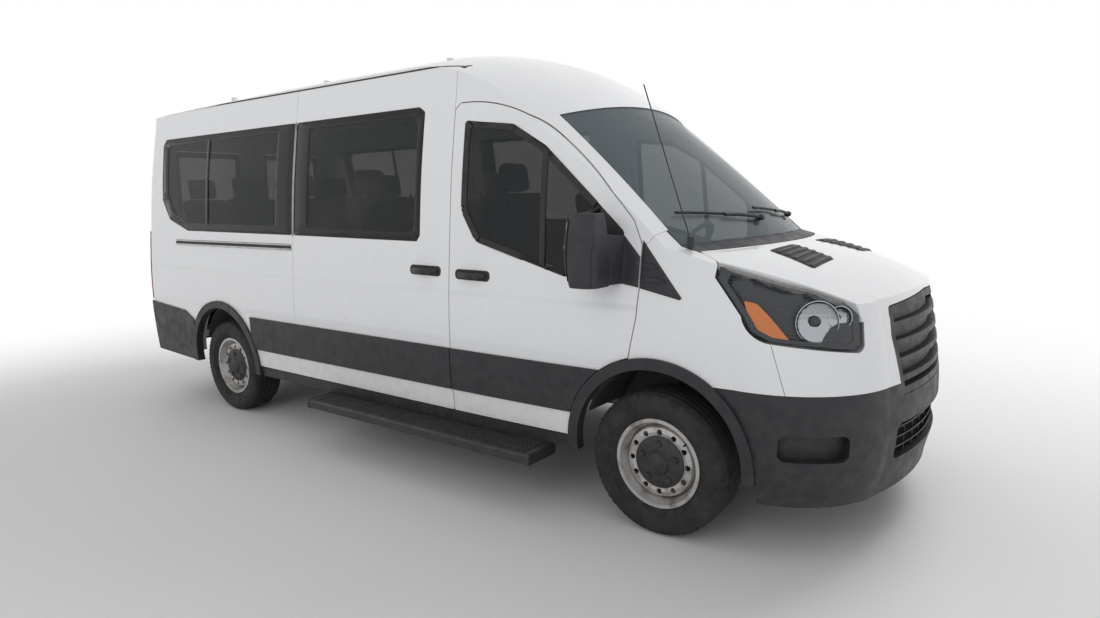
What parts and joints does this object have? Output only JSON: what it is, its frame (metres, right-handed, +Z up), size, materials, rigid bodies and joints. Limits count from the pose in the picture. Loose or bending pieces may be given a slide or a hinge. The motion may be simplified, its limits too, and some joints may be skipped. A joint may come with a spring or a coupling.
{
  "type": "passenger minibus",
  "caption": "Long medium-roof minibus with hinged cab and rear doors, fixed sliding door, glazed sides, rows of seats and steered front wheels.",
  "frame": {"origin": "middle of the footprint on the floor, under the centre of the bounding box", "axes": "+X forward, +Y to the driver's left, +Z up"},
  "size_m": [5.981, 2.48, 2.5292],
  "materials": {
    "paint": "gloss white enamel",
    "black_plastic": "grained black moulding",
    "clear_glass": "lightly tinted laminated glass",
    "dark_glass": "dark privacy glass",
    "lamp_lens": "clear lens over bright reflector",
    "red_lens": "clear red lens",
    "wheel_steel": "silver painted pressed steel",
    "tyre": "dusty black rubber",
    "axle_iron": "dull black",
    "exhaust_steel": "dull steel",
    "underbody": "matt grey primer",
    "cabin_plastic": "dark grey grained",
    "seat_metal": "satin black",
    "seat_cloth": "woven dark grey cloth"
  },
  "bodies": {
    "body": {"floor_panel": "underbody", "bulkhead": "underbody", "wheel_housings": "underbody", "chassis_rails": "axle_iron", "roof_panel": "paint", "body_side_left": "paint", "body_side_right": "paint", "sliding_door": "paint", "windscreen": "clear_glass", "side_windows_left": "dark_glass", "side_windows_right": "dark_glass", "cowl_panel": "black_plastic", "front_wings": "paint", "nose_panels": "paint", "headlamps": "lamp_lens", "grille": "black_plastic", "front_bumper": "black_plastic", "side_trim": "black_plastic", "rear_bumper": "black_plastic", "tail_lamps": "red_lens", "running_board": "black_plastic", "aerial": "black_plastic", "dashboard": "cabin_plastic", "steering_wheel": "cabin_plastic", "seat_bases": "seat_metal", "cab_seats": "seat_cloth", "seat_row_1": "seat_cloth", "seat_row_2": "seat_cloth", "seat_row_3": "seat_cloth", "seat_row_4": "seat_cloth", "front_axle": "axle_iron", "rear_axle": "axle_iron", "engine_block": "axle_iron", "prop_shaft": "axle_iron", "fuel_tank": "cabin_plastic", "exhaust": "exhaust_steel"},
    "bonnet": {"bonnet": "paint"},
    "cab_door_left": {"cab_door_left": "paint", "cab_door_window_left": "dark_glass", "cab_door_trim_left": "black_plastic"},
    "rear_door_left": {"rear_door_left": "paint", "rear_door_window_left": "dark_glass"},
    "knuckle_left": {"knuckle_left": "axle_iron"},
    "cab_door_right": {"cab_door_right": "paint", "cab_door_window_right": "dark_glass", "cab_door_trim_right": "black_plastic"},
    "rear_door_right": {"rear_door_right": "paint", "rear_door_window_right": "dark_glass"},
    "knuckle_right": {"knuckle_right": "axle_iron"},
    "wheel_front_left": {"wheel_front_left": "wheel_steel", "tyre_front_left": "tyre"},
    "wheel_front_right": {"wheel_front_right": "wheel_steel", "tyre_front_right": "tyre"},
    "wheel_rear_left": {"wheel_rear_left": "wheel_steel", "tyre_rear_left": "tyre"},
    "wheel_rear_right": {"wheel_rear_right": "wheel_steel", "tyre_rear_right": "tyre"}
  },
  "joints": [
    {"name": "steer_left", "type": "hinge", "parent": "body", "child": "knuckle_left", "pos_m": [1.9675, 0.776, 0.356], "axis": [0, 0, 1], "range_deg": [-35, 35]},
    {"name": "steer_right", "type": "hinge", "parent": "body", "child": "knuckle_right", "pos_m": [1.9675, -0.776, 0.356], "axis": [0, 0, 1], "range_deg": [-35, 35]},
    {"name": "front_wheel_spin_left", "type": "hinge", "parent": "knuckle_left", "child": "wheel_front_left", "pos_m": [1.9675, 0.866, 0.356], "axis": [0, 1, 0], "continuous": true},
    {"name": "rear_wheel_spin_left", "type": "hinge", "parent": "body", "child": "wheel_rear_left", "pos_m": [-1.7825, 0.8715, 0.356], "axis": [0, 1, 0], "continuous": true},
    {"name": "cab_door_left_hinge", "type": "hinge", "parent": "body", "child": "cab_door_left", "pos_m": [1.8905, 1.036, 1], "axis": [0, 0, -1], "range_deg": [0, 68]},
    {"name": "rear_door_left_hinge", "type": "hinge", "parent": "body", "child": "rear_door_left", "pos_m": [-2.972, 0.835, 1.4], "axis": [0, 0, -1], "range_deg": [0, 180]},
    {"name": "front_wheel_spin_right", "type": "hinge", "parent": "knuckle_right", "child": "wheel_front_right", "pos_m": [1.9675, -0.866, 0.356], "axis": [0, 1, 0], "continuous": true},
    {"name": "rear_wheel_spin_right", "type": "hinge", "parent": "body", "child": "wheel_rear_right", "pos_m": [-1.7825, -0.8715, 0.356], "axis": [0, 1, 0], "continuous": true},
    {"name": "cab_door_right_hinge", "type": "hinge", "parent": "body", "child": "cab_door_right", "pos_m": [1.8905, -1.036, 1], "axis": [0, 0, 1], "range_deg": [0, 68]},
    {"name": "rear_door_right_hinge", "type": "hinge", "parent": "body", "child": "rear_door_right", "pos_m": [-2.972, -0.835, 1.4], "axis": [0, 0, 1], "range_deg": [0, 180]},
    {"name": "bonnet_hinge", "type": "hinge", "parent": "body", "child": "bonnet", "pos_m": [2.12, 0, 1.392], "axis": [0, -1, 0], "range_deg": [0, 50]}
  ],
  "couplings": [
    {"joint": "steer_right", "follows": "steer_left", "ratio": 1}
  ]
}
